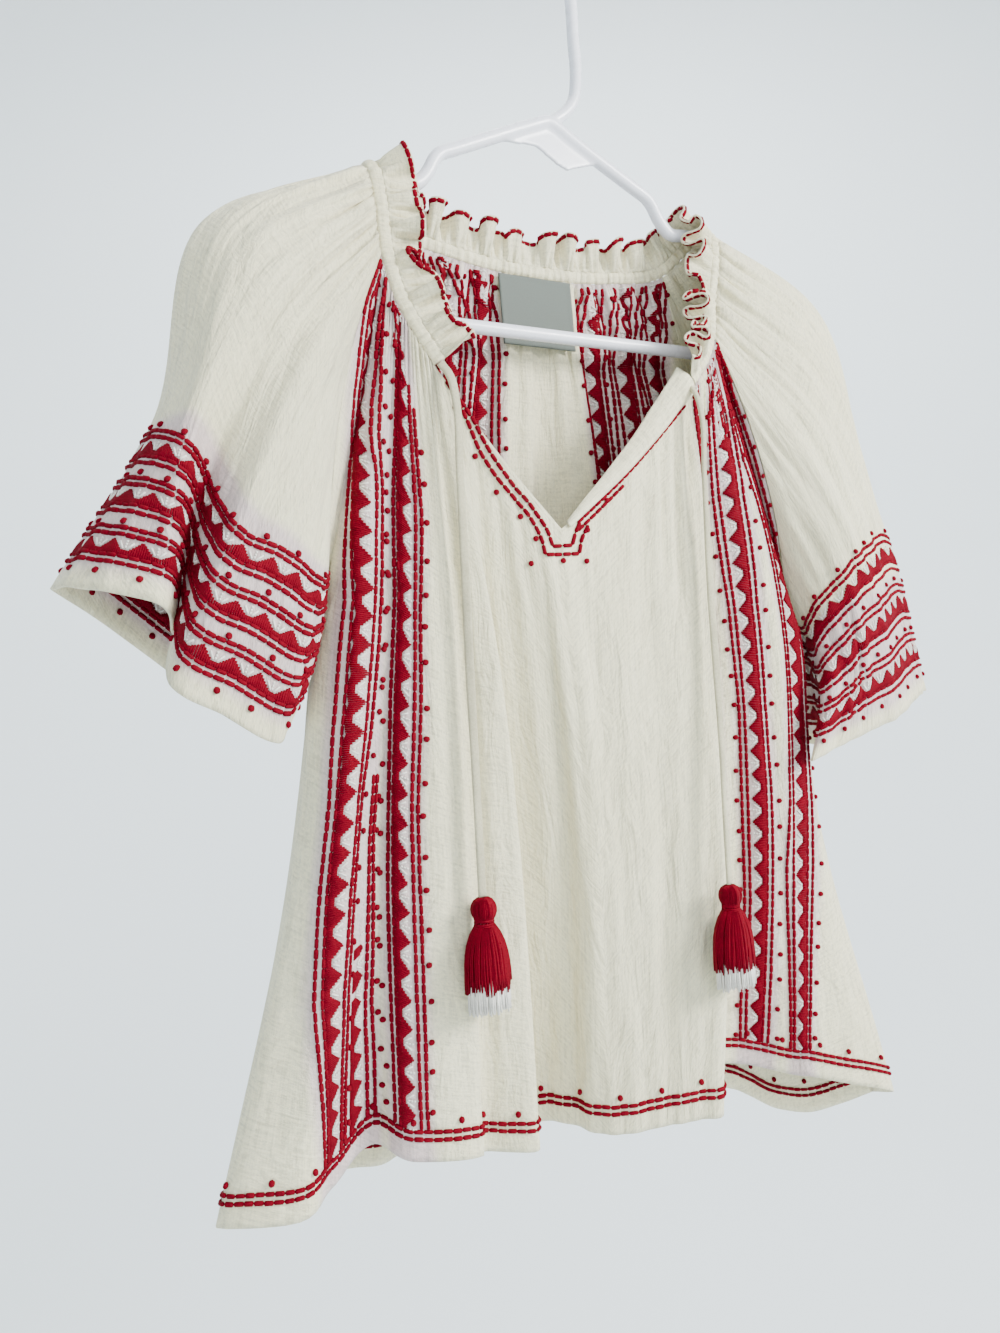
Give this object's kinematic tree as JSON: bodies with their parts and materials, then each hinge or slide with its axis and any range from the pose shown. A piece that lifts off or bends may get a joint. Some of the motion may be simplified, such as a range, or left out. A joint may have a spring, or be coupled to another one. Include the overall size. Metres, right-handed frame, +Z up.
{
  "type": "peasant blouse on a plastic clothes hanger",
  "caption": "Gathered raglan peasant blouse with a frilled split neck, tasselled drawstring and folk embroidery, hanging open and empty on a moulded tubular hanger.",
  "frame": {"origin": "inner top of the hanger's hook, where the rod that holds it bears", "axes": "+Z up, -Y towards the blouse's front, +X to the right as one looks at the front; the hanger lies in the plane y = 0"},
  "size_m": [0.624, 0.1274, 0.7995],
  "materials": {
    "cream_cotton": "thin cream cotton voile with a visible plain weave",
    "cord_cotton": "flat cream cotton rouleau",
    "label_cloth": "plain woven label, blank",
    "red_yarn": "matt red embroidery wool",
    "white_yarn": "white cotton thread with a slight sheen",
    "hanger_plastic": "glossy moulded white plastic"
  },
  "bodies": {
    "root": {"hanger": "hanger_plastic", "front": "cream_cotton", "back": "cream_cotton", "sleeve_left": "cream_cotton", "sleeve_right": "cream_cotton", "neck_casing": "cream_cotton", "neck_frill": "cream_cotton", "neck_label": "label_cloth", "drawstring_left": "cord_cotton", "drawstring_right": "cord_cotton", "tassel_left": "red_yarn", "tassel_right": "red_yarn", "tassel_tips_left": "white_yarn", "tassel_tips_right": "white_yarn"}
  },
  "joints": []
}
